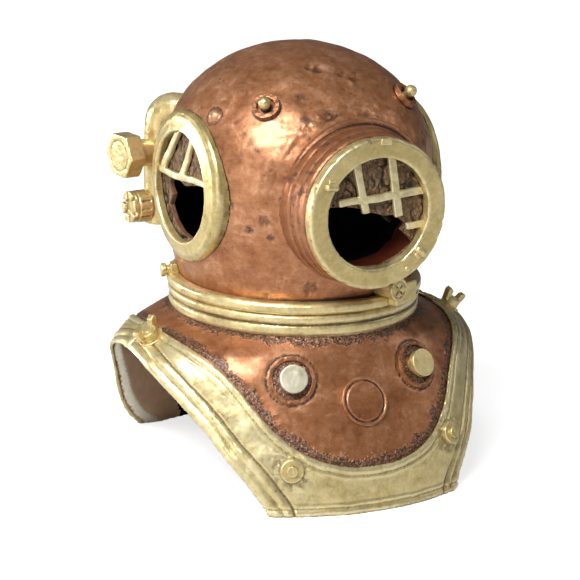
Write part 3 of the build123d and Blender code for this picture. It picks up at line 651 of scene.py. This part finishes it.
def build_strap(node, seed):
    """A strap: two rounded bands and a groove along the arch, a flat, and a lip along the copper."""
    skin = Skin(remeshed(cad_copy("strap_" + node, [node]), 0.5))
    skin.soften(2)
    p, n = skin.points, skin.normals
    radial = p * np.array([1.0, 1.0, 0.0]) + np.array([0, 0, 1.0]) * (p[:, 2:3] - 10)
    outer = rise(np.einsum("ij,ij->i", n, radial / np.linalg.norm(radial, axis=1)[:, None]), 0.15, 0.5)
    wander = 0.45 * noise(p, 16, seed) + 0.18 * noise(p, 4, seed + 1)
    s = from_points(p, ARCH_RIM) + wander
    t = from_points(p, FIELD_RIM) + 0.3 * noise(p, 6, seed + 2)
    strength = 0.65 + 0.5 * noise(p, 22, seed + 3)
    bands = 0.62 * bump(s, 1.9, 2.3) + 0.42 * bump(s, 5.6, 2.0)
    groove = bump(s, 7.9, 0.95) * rise(strength, 0.1, 0.7)
    lip = 0.55 * bump(t, 1.5, 1.9) + 0.28 * bump(t, 4.2, 1.1)
    height = bands - 0.42 * groove + lip - 0.12 * bump(t, 3.1, 0.5)
    height += 0.22 * noise(p, 9, seed + 4) + 0.10 * noise(p, 3.4, seed + 5) + 0.03 * noise(p, 1.1, seed + 6)
    height -= 0.25 * bump(s, 3.8, 0.6) * rise(noise(p, 12, seed + 8), -0.4, 0.2)
    near_stud = np.min([np.linalg.norm(p - np.array(c), axis=1) for c in STUD_SPOTS], axis=0)
    messy = (1 - rise(near_stud, 6.5, 11.0)) * rise(near_stud, 4.2, 5.4)
    height += messy * 0.45 * rough(p, 2.2, seed + 7)
    near_wing = np.min([np.linalg.norm(p - np.array(c), axis=1) for c in SHOULDER_SPOTS], axis=0)
    messy_wing = (1 - rise(near_wing, 6.0, 9.0))
    height += messy_wing * 0.14 * rough(p, 2.6, seed + 9)
    height -= 0.25 * (1 - rise(t, 0.0, 1.0)) * rise(noise(p, 1.4, seed + 11), 0.0, 0.5)
    skin.push(height * outer)
    hollow, edge = skin.relief(10, 0.16)
    dark = 0.80 * groove + 0.38 * bump(s, 3.8, 0.7) * rise(noise(p, 9, seed + 8), -0.2, 0.3)
    dark = np.maximum(dark, 0.30 * bump(t, 3.1, 0.5))
    dark = np.maximum(dark, 0.45 * messy * rise(noise(p, 1.8, seed + 12), 0.0, 0.5))
    dark = np.maximum(dark, 0.5 * bump(near_stud, 5.1, 1.0))
    dark = np.maximum(dark, 0.5 * rise(hollow, 0.3, 1.0))
    dark = np.maximum(dark, 0.45 * (1 - rise(p[:, 2], 0.2, 1.6 + 1.2 * noise(p, 5, seed + 13))))
    tarnish = 0.3 * bump(s, 9.0, 2.2) + 0.25 * rise(noise(p, 14, seed + 14), 0.1, 0.7)
    # Painted shade: the strap turns more olive towards the wearer's left, away from the light.
    tarnish += 0.3 * rise(p[:, 0], 0, 45)
    # Painted highlight: the middle of the strap is lightened towards the wearer's right, where the light
    # falls.
    painted_highlight = 0.75 * rise(-p[:, 0] + 3 * noise(p, 12, seed + 15), 8, 40) * bump(s, 14.0, 9.0)
    settle(skin, "brass_straps", "brass_straps", [node], wash=dark * outer,
           worn=np.maximum(edge, painted_highlight) * outer,
           age=0.22 * outer, tarnish=tarnish)


def build_corselet():
    skin = Skin(remeshed(cad_copy("corselet", ["corselet_shell"]), 0.95))

    def fields(p):
        under = from_points(p, STRAP_CLOUD)
        t = from_points(p, FIELD_RIM)
        ring = from_points(p, RING_CLOUD)
        bare = rise(under, 0.9, 1.4)
        ragged = 1.3 * noise(p, 3.0, 3) + 0.6 * noise(p, 1.2, 4)
        by_strap = 1 - rise(t + 1.2 * ragged, 2.0, 5.4)
        by_ring = 1 - rise(ring + 1.2 * ragged, 1.5, 4.6)
        peg = np.min([np.linalg.norm(p - np.array(c), axis=1) for c in PEG_SPOTS], axis=0)
        by_peg = 1 - rise(peg + 0.25 * ragged, PEG_HOLE_R - 1.0, PEG_HOLE_R)
        return bare, np.maximum(np.maximum(by_strap, by_ring), by_peg), peg

    p, n = skin.points, skin.normals
    centre = p - np.array([0, 0, -20.0])
    outer = rise(np.einsum("ij,ij->i", n, centre / np.linalg.norm(centre, axis=1)[:, None]), 0.2, 0.5)
    bare, crumbs, peg = fields(p)
    skin.refine((crumbs > 0.05) & (outer > 0.4))
    p, n = skin.points, skin.normals
    centre = p - np.array([0, 0, -20.0])
    facing = np.einsum("ij,ij->i", n, centre / np.linalg.norm(centre, axis=1)[:, None])
    outer = rise(facing, 0.2, 0.5)
    bare, crumbs, peg = fields(p)
    grains, _ = cells(p, 0.95, 71)
    coarse, _ = cells(p, 1.9, 72)
    height = bare * (0.75 * hammered(p, 19))
    height += crumbs * (0.42 * (0.55 - grains) + 0.35 * (0.5 - coarse) + 0.12)
    height -= 0.35 * (1 - bare)
    height -= 0.3 * bump(peg, PEG_LINE_R, 0.55) * bare
    skin.push(height * outer)
    hollow, edge = skin.relief(12, 0.2)
    wash = 0.5 * rise(hollow, 0.3, 1.0) * (1 - crumbs)
    wash = np.maximum(wash, 0.8 * bump(peg, PEG_LINE_R, 0.8) * bare)
    from_arch = from_points(p, ARCH_RIM)
    sideways = np.abs(n[:, 0]) < 0.35
    cut = (from_arch < 6.0) & sideways & (np.abs(p[:, 0]) > 28)
    cut_edge = rise(skin.smoothed(cut.astype(float), 1), 0.3, 0.7) * (1 - rise(facing, 0.6, 0.85))
    inner = (1 - rise(facing, 0.0, 0.15)) * (1 - cut_edge)
    # Painted shade: the inner wall farther than about 17 to 22 mm from the arch takes the flat black inside
    # paint; nearer the arch it stays brown.
    deep = inner * rise(from_arch + 2.5 * noise(p, 8, 33), 17, 22)
    settle(skin, "copper_shell", "copper_shell", ["corselet_shell"], painted_shade_faces=deep, wash=wash * outer,
           worn=edge * outer, age=0.7 * outer, inner=inner, brass_edge=cut_edge, crumb=crumbs * outer)


def spread_cloud(nodes, spacing):
    """Points spread over the CAD surfaces of some nodes."""
    found = []
    for node in nodes:
        mesh = NODES[node].data
        mesh.calc_loop_triangles()
        for triangle in mesh.loop_triangles:
            a, b, c = (mesh.vertices[v].co / MM for v in triangle.vertices)
            longest = max((b - a).length, (c - b).length, (a - c).length)
            steps = max(1, math.ceil(longest / spacing))
            for i in range(steps + 1):
                for j in range(steps + 1 - i):
                    found.append(a + (b - a) * (i / steps) + (c - a) * (j / steps))
    return found


STRAP_CLOUD = spread_cloud(["front_brail", "back_brail"], 0.9)
RING_CLOUD = spread_cloud(["corselet_neck_ring"], 1.2)


# ---- rings ----------------------------------------------------------------------------------
def build_neck_ring(node, voxel, seed):
    skin = Skin(remeshed(cad_copy("ring_" + node, [node]), voxel))
    skin.soften(1)
    p, n = skin.points, skin.normals
    radius = np.hypot(p[:, 0], p[:, 1])
    outer = rise((n[:, 0] * p[:, 0] + n[:, 1] * p[:, 1]) / radius, 0.1, 0.5)
    height = 0.14 * noise(p, 8, seed) + 0.08 * noise(p, 2.6, seed + 1) + 0.03 * noise(p, 1.0, seed + 2)
    skin.push(height * np.maximum(outer, rise(n[:, 2], 0.3, 0.8)))
    hollow, edge = skin.relief(10, 0.16)
    low_edge = 1 - rise(p[:, 2] + 0.9 * noise(p, 2.4, seed + 4), 64.6, 66.2)
    wash = np.maximum(rise(hollow, 0.1, 0.6) * 0.95, 0.5 * low_edge)
    # Painted shade: the ring's inside, inward of about 44 mm radius, takes the flat black inside paint.
    settle(skin, "brass_fittings", "brass_fittings", [node], painted_shade_faces=1 - rise(radius, 43.9, 44.6),
           wash=wash, worn=edge,
           age=np.full(skin.count, 0.25), tarnish=0.5 * rise(noise(p * [1, 1, 3], 11, seed + 6), -0.1, 0.7))


def build_front_ring():
    skin = Skin(remeshed(cad_copy("front_ring", ["front_window_frame"]), 0.45))
    skin.soften(2)
    p, n = skin.points, skin.normals
    radius = np.hypot(p[:, 0], p[:, 2] - WINDOW_Z)
    rim = np.maximum(bump(radius, 29.6, 1.0), bump(radius, 22.1, 0.8))
    height = 0.10 * noise(p, 7, 5) + 0.05 * noise(p, 2.2, 6) + 0.02 * noise(p, 0.9, 7)
    height -= 0.35 * rim * rise(noise(p, 2.3, 8), 0.35, 0.75)
    skin.push(height)
    hollow, edge = skin.relief(8, 0.16)
    face = rise(-n[:, 1], 0.8, 0.95)
    wash = np.maximum(0.6 * rise(hollow, 0.25, 1), 0.5 * rim * rise(noise(p, 1.9, 9), 0.45, 0.8))
    settle(skin, "brass_fittings", "brass_fittings", ["front_window_frame"], wash=wash, worn=edge,
           age=np.full(skin.count, 0.3), tarnish=0.42 * face)


def build_side_ring(side):
    node = side + "_window_frame"
    skin = Skin(remeshed(cad_copy(side + "_ring", [node]), 0.42))
    skin.soften(1)
    p, n = skin.points, skin.normals
    radius = np.hypot(p[:, 1], p[:, 2] - WINDOW_Z)
    height = 0.14 * noise(p, 7, 25) + 0.06 * noise(p, 2.4, 26) + 0.02 * noise(p, 0.9, 27)
    height += 0.18 * bump(radius, 27.4, 1.6)
    skin.push(height)
    hollow, edge = skin.relief(8, 0.16)
    skirt = (1 - rise(np.abs(p[:, 0]), 47.0, 49.0)) * rise(radius, 28, 30)
    wash = np.maximum(0.6 * rise(hollow, 0.25, 1), 0.75 * skirt)
    band = rise(radius + 0.5 * noise(p, 5, 28), 26.6, 28.6)
    # Painted shade: the faces turned in towards the helmet take the flat black inside paint.
    inward = 1 - rise(n[:, 0] * np.sign(p[:, 0]), -0.5, -0.2)
    settle(skin, "brass_fittings", "brass_fittings", [node], painted_shade_faces=inward, wash=wash, worn=edge,
           age=np.full(skin.count, 0.3), tarnish=0.75 * band)


def build_front_tube():
    skin = Skin(remeshed(cad_copy("front_tube", ["front_window_tube"]), 0.5))
    skin.soften(1)
    p, n = skin.points, skin.normals
    radius = np.hypot(p[:, 0], p[:, 2] - WINDOW_Z)
    outward = (n[:, 0] * p[:, 0] + n[:, 2] * (p[:, 2] - WINDOW_Z)) / radius
    outer = rise(outward, 0.0, 0.4)
    height = 0.22 * noise(p, 8, 35) + 0.12 * noise(p, 3.0, 36) + 0.04 * noise(p, 1.1, 37)
    skin.push(height * outer)
    hollow, edge = skin.relief(8, 0.16)
    inner = 1 - rise(radius, 25.0, 26.5)
    wash = np.maximum(0.9 * rise(hollow, 0.15, 0.8), 0.5 * rise(rough(p, 3.2, 38), 0.3, 0.6))
    edge = 0.6 * edge
    # Painted shade: the bore deeper inside, behind its red front, takes the flat black inside paint.
    deep = inner * rise(p[:, 1] + 1.5 * noise(p, 6, 39), -47.0, -44.5)
    settle(skin, "front_tube", "copper_fittings", ["front_window_tube"], painted_shade_faces=deep,
           wash=wash * (1 - inner), worn=edge,
           age=0.5 * (1 - inner), inner=inner)


# ---- panes and bars ------------------------------------------------------------------------
def build_pane(node, out, across, seed):
    """A pane of cracked crust. 'out' is its facing axis and 'across' its level axis."""
    skin = Skin(remeshed(cad_copy("crust_" + node, [node]), 0.36))
    skin.soften(1)
    p, n = skin.points, skin.normals
    face = rise(n @ out, 0.3, 0.8)
    flat = np.stack([p @ across / 0.75, p[:, 2] / 1.9, np.zeros(len(p))], 1)
    flat += 1.1 * np.stack([noise(p, 3.0, seed + k) for k in (1, 2, 3)], 1)
    near, second = cells(flat, 6.2, seed)
    fine_near, fine_second = cells(flat * [1.0, 1.5, 1.0], 2.6, seed + 9)
    crack = (1 - rise(second - near, 0.0, 0.15)) * rise(noise(p, 5, seed + 3), -0.6, 0.1)
    fine = (1 - rise(fine_second - fine_near, 0.0, 0.12)) * rise(noise(p, 3, seed + 4), -0.2, 0.4)
    height = 0.4 * (0.5 - near) - 0.8 * crack - 0.2 * fine + 0.42 * rough(p, 2.4, seed + 5)
    skin.push(height * face)
    hollow, edge = skin.relief(8, 0.14)
    radius = np.hypot(p @ across, p[:, 2] - WINDOW_Z)
    broken = (1 - face) * (1 - rise(radius, 21.0, 22.0)) * rise(n @ out, -0.6, -0.2)
    wash = np.maximum(np.maximum(crack * 0.95, fine * 0.5) * face, 0.8 * rise(hollow, 0.3, 1))
    # Painted shade: the pane's inward face is darkened to near-black, like the rest of the inside.
    wash = np.maximum(wash, 1 - rise(n @ out, -0.9, -0.5))
    settle(skin, "pane_bark", "pane_bark", [node], wash=wash * (1 - 0.7 * broken),
           worn=edge * face, broken=broken)


# ---- air line ---------------------------------------------------------------------------------
def solid_of_turns(name, outline, matrix, segments=64):
    """Mesh turned about its own Z from (radius, height) points, placed by a matrix, in mm."""
    bm = bmesh.new()
    rings = []
    for radius, height in outline:
        ring = []
        for k in range(segments):
            a = 2 * math.pi * k / segments
            ring.append(bm.verts.new(Vector((radius * math.cos(a), radius * math.sin(a), height))))
        rings.append(ring)
    for low, high in zip(rings, rings[1:] + rings[:1]):
        for k in range(segments):
            bm.faces.new((low[k], low[(k + 1) % segments], high[(k + 1) % segments], high[k]))
    bmesh.ops.transform(bm, matrix=matrix, verts=bm.verts)
    bmesh.ops.scale(bm, vec=(MM,) * 3, verts=bm.verts)
    bmesh.ops.recalc_face_normals(bm, faces=bm.faces)
    mesh = bpy.data.meshes.new(name)
    bm.to_mesh(mesh)
    bm.free()
    obj = bpy.data.objects.new(name, mesh)
    bpy.context.scene.collection.objects.link(obj)
    return obj


def build_nozzle():
    """Swivelling elbow from the CAD, with three hose barbs on its spigot."""
    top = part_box("air_nozzle")[1].z / MM
    barbs = [(1.4, 18.2), (2.2, 18.2), (2.2, 19.0)]
    for k in range(3):
        foot = 19.0 + 3.3 * k
        barbs += [(2.38, foot + 0.1), (2.38, foot + 0.9), (1.95, foot + 3.1)]
    barbs += [(1.9, top - 0.9), (1.7, top - 0.2), (1.5, top), (1.4, top)]
    spigot = solid_of_turns("spigot", barbs, Matrix.Translation((*HOSE_X_Y, 0)))
    bm = bmesh.new()
    bm.from_mesh(NODES["air_nozzle"].data)
    bmesh.ops.remove_doubles(bm, verts=bm.verts, dist=2e-6)
    everything = bm.verts[:] + bm.edges[:] + bm.faces[:]
    cut = bmesh.ops.bisect_plane(bm, geom=everything, plane_co=(0, 0, NOZZLE_CUT_Z * MM),
                                 plane_no=(0, 0, 1), clear_outer=True)
    bmesh.ops.contextual_create(bm, geom=[e for e in cut["geom_cut"] if isinstance(e, bmesh.types.BMEdge)])
    bm.from_mesh(spigot.data)
    bpy.data.objects.remove(spigot)
    mesh = bpy.data.meshes.new("nozzle")
    bm.to_mesh(mesh)
    bm.free()
    obj = bpy.data.objects.new("swivel_nozzle", mesh)
    bpy.context.scene.collection.objects.link(obj)
    skin = Skin(remeshed(obj, 0.22))
    skin.soften(1)
    settle(skin, "air_plastic", "air_plastic", ["air_nozzle"], "nozzle")


def build_air_stone():
    """Sintered stone: the CAD cylinder with a grainy surface."""
    skin = Skin(remeshed(cad_copy("bubble_stone", ["air_stone"]), 0.32))
    near, _ = cells(skin.points, 1.0, 91)
    skin.push(-0.28 * rise(near, 0.25, 0.75) + 0.05 * noise(skin.points, 2.5, 92) + 0.02)
    settle(skin, "air_stone", "air_stone", ["air_stone"], "stone")


build_bonnet()
build_strap("front_brail", 101)
build_strap("back_brail", 151)
build_corselet()
build_neck_ring("bonnet_neck_ring", 0.45, 201)
build_neck_ring("corselet_neck_ring", 0.5, 231)
build_front_ring()
build_front_tube()
build_side_ring("right")
build_side_ring("left")
build_pane("front_window_pane", np.array([0, -1.0, 0]), np.array([1.0, 0, 0]), 301)
build_pane("right_window_pane", np.array([-1.0, 0, 0]), np.array([0, 1.0, 0]), 331)
build_pane("left_window_pane", np.array([1.0, 0, 0]), np.array([0, 1.0, 0]), 361)
for name in ("front", "right", "left"):
    cast_piece(name + "_window_grille", 0.26, "brass_bars", unevenness=0.16, lump=2.2, age=0.3,
               bend=0.6, soften=5)
for name in ("front_window_hinge", "front_window_catch", "front_window_pads", "shoulder_wing_nut_right",
             "shoulder_wing_nut_left", "shoulder_stud_right", "shoulder_stud_left", "neck_lock_knob",
             "neck_lock_bracket", "spitcock_disc", "brail_stud_front_right", "brail_stud_front_left",
             "brail_stud_back_right", "brail_stud_back_left", "crown_stud_right", "crown_stud_left"):
    cast_piece(name, 0.22, "brass_fittings", unevenness=0.10, lump=1.6, age=0.2)
# Painted highlight on the upward faces of the bosses, valve and inlet fittings.
for name in ("brail_boss_front_right", "brail_boss_front_left",
             "brail_boss_back_right", "brail_boss_back_left",
             "valve_body", "valve_cap", "inlet_neck", "inlet_nut"):
    cast_piece(name, 0.28, "brass_fittings", unevenness=0.13, lump=2.2, age=0.2, painted_highlight=0.5)
cast_piece("spitcock_body", 0.28, "brass_fittings", unevenness=0.13, lump=2.2, age=0.2, soften=8)
# Painted highlight: the right breast peg takes the paler lit copy of the brass, the left one the ordinary
# brass.
cast_piece("breast_peg_right", 0.28, "brass_fittings", "brass_painted_highlight", unevenness=0.08, lump=3.0, age=0.08)
cast_piece("breast_peg_left", 0.28, "brass_fittings", unevenness=0.08, lump=3.0, age=0.2)
# Painted highlight on the pipe's upward faces.
cast_piece("gooseneck_pipe", 0.4, "brass_fittings", unevenness=0.18, lump=4.0, age=0.3, painted_highlight=0.8)
for name in ("crown_washer_right", "crown_washer_left"):
    cast_piece(name, 0.3, "copper_fittings", unevenness=0.12, lump=1.6, age=0.8, sink=0.25, grime=0.5)
for name in ("breast_washer_right", "breast_washer_left"):
    cast_piece(name, 0.3, "copper_fittings", unevenness=0.14, lump=1.5, age=0.8, sink=0.3, grime=0.45)
cast_piece("medallion_plate", 0.3, "copper_fittings", unevenness=0.10, lump=3.0, age=0.7, sink=0.15)
cast_piece("inlet_grommet", 0.35, "rubber_grommet", unevenness=0.02)
cast_piece("air_manifold", 0.4, "air_plastic", unevenness=0.02, lump=5.0)
cast_piece("riser_clip", 0.4, "air_plastic", unevenness=0.02, lump=5.0)
cast_piece("riser_tube", 0.25, "clear_plastic", unevenness=0.01, lump=5.0, soften=1)
cast_piece("stone_stem", 0.2, "air_plastic", unevenness=0.01, lump=5.0, body="stone", soften=1)
build_nozzle()
build_air_stone()


# ---- floor, light and camera ------------------------------------------------------------------
FLOOR_HALF = 3.0                      # metres from the middle to each edge
FLOOR_GLOW = 0.72                     # emission that only the camera sees
WORLD_LIGHT = (0.32, 0.05)            # strength from the wearer's right and left
LIGHTS = {  # place and size in metres, power in watts; left and right as the camera sees them
    "key": ((-1.02, -0.70, 1.35), (1.1, 0.55), 36.0),
    "left": ((-1.35, -0.55, 0.20), (0.4, 0.4), 2.0),
    "right": ((1.4, -0.5, 0.9), (0.3, 0.9), 2.0),
    "back": ((-1.0, 1.0, 0.15), (0.7, 0.4), 8.0),
}
LIGHT_AIM = Vector((0, 0, 0.08))
CAMERA_ANGLES = (-28.06, 15.56, 1.62)  # degrees round, up and rolled
CAMERA_DISTANCE = 1.2252              # this and the next two in metres
CAMERA_HEIGHT = 0.0705                # height aimed at
CAMERA_SHIFT = 0.00139                # how far to its own left the camera aims
CAMERA_LENS = 187.3                   # millimetres, on a 36 mm sensor


def stage_floor():
    """Plain white floor that looks evenly white to the camera but casts back ordinary light."""
    mesh = bpy.data.meshes.new("floor")
    half = FLOOR_HALF
    corners = [(-half, -half, 0), (half, -half, 0), (half, half, 0), (-half, half, 0)]
    mesh.from_pydata(corners, [], [(0, 1, 2, 3)])
    floor = bpy.data.objects.new("floor", mesh)
    bpy.context.scene.collection.objects.link(floor)
    t = Tree("floor_white")
    white = t.mix(t.noise(220.0, 2.0), (0.72, 0.72, 0.72), (0.76, 0.76, 0.76))
    seen = t.nodes.new("ShaderNodeLightPath")
    glow = t.math("MULTIPLY", seen.outputs["Is Camera Ray"], FLOOR_GLOW)
    mesh.materials.append(t.finish(Base_Color=white, Roughness=0.9, Emission_Color=(1, 1, 1),
                                   Emission_Strength=glow))


def softbox(name, place, size, power):
    """Rectangular lamp aimed at the ornament."""
    light = bpy.data.lights.new(name, "AREA")
    light.shape = "RECTANGLE"
    light.size, light.size_y = size
    light.energy = power
    lamp = bpy.data.objects.new(name, light)
    lamp.location = place
    aim = LIGHT_AIM - Vector(place)
    lamp.rotation_euler = aim.to_track_quat("-Z", "Y").to_euler()
    bpy.context.scene.collection.objects.link(lamp)


def studio_world():
    """White to the camera, dim towards the wearer's left for everything else."""
    world = bpy.data.worlds.new("studio")
    bpy.context.scene.world = world
    world.use_nodes = True
    nodes, links = world.node_tree.nodes, world.node_tree.links
    nodes.clear()
    path = nodes.new("ShaderNodeLightPath")
    seen = nodes.new("ShaderNodeBackground")
    seen.inputs["Color"].default_value = (1, 1, 1, 1)
    seen.inputs["Strength"].default_value = 1.0
    lit = nodes.new("ShaderNodeBackground")
    direction = nodes.new("ShaderNodeTexCoord")
    parts = nodes.new("ShaderNodeSeparateXYZ")
    links.new(direction.outputs["Generated"], parts.inputs[0])
    fade = nodes.new("ShaderNodeMapRange")
    limits = (("From Min", -1.0), ("From Max", 1.0), ("To Min", WORLD_LIGHT[0]), ("To Max", WORLD_LIGHT[1]))
    for name, number in limits:
        fade.inputs[name].default_value = number
    links.new(parts.outputs["X"], fade.inputs["Value"])
    links.new(fade.outputs["Result"], lit.inputs["Strength"])
    mix = nodes.new("ShaderNodeMixShader")
    links.new(path.outputs["Is Camera Ray"], mix.inputs[0])
    links.new(lit.outputs[0], mix.inputs[1])
    links.new(seen.outputs[0], mix.inputs[2])
    output = nodes.new("ShaderNodeOutputWorld")
    links.new(mix.outputs[0], output.inputs["Surface"])


def main_camera():
    """Long lens from the wearer's front right, slightly above, with a small roll."""
    azimuth, elevation, roll = (math.radians(angle) for angle in CAMERA_ANGLES)
    right = Vector((math.cos(azimuth), math.sin(azimuth), 0))
    level = math.cos(elevation)
    back = Vector((math.sin(azimuth) * level, -math.cos(azimuth) * level, math.sin(elevation)))
    up = back.cross(right)
    across = right * math.cos(roll) + up * math.sin(roll)
    above = up * math.cos(roll) - right * math.sin(roll)
    target = Vector((0, 0, CAMERA_HEIGHT)) - right * CAMERA_SHIFT
    camera = bpy.data.cameras.new("camera")
    camera.lens = CAMERA_LENS
    camera.sensor_width = 36.0
    camera.clip_start, camera.clip_end = 0.05, 20.0
    holder = bpy.data.objects.new("camera", camera)
    rotation = Matrix((across, above, back)).transposed().to_4x4()
    holder.matrix_world = Matrix.Translation(target + back * CAMERA_DISTANCE) @ rotation
    bpy.context.scene.collection.objects.link(holder)
    bpy.context.scene.camera = holder


stage_floor()
studio_world()
for name, (place, size, power) in LIGHTS.items():
    softbox(name, place, size, power)
main_camera()
bpy.context.scene.view_settings.view_transform = "Standard"
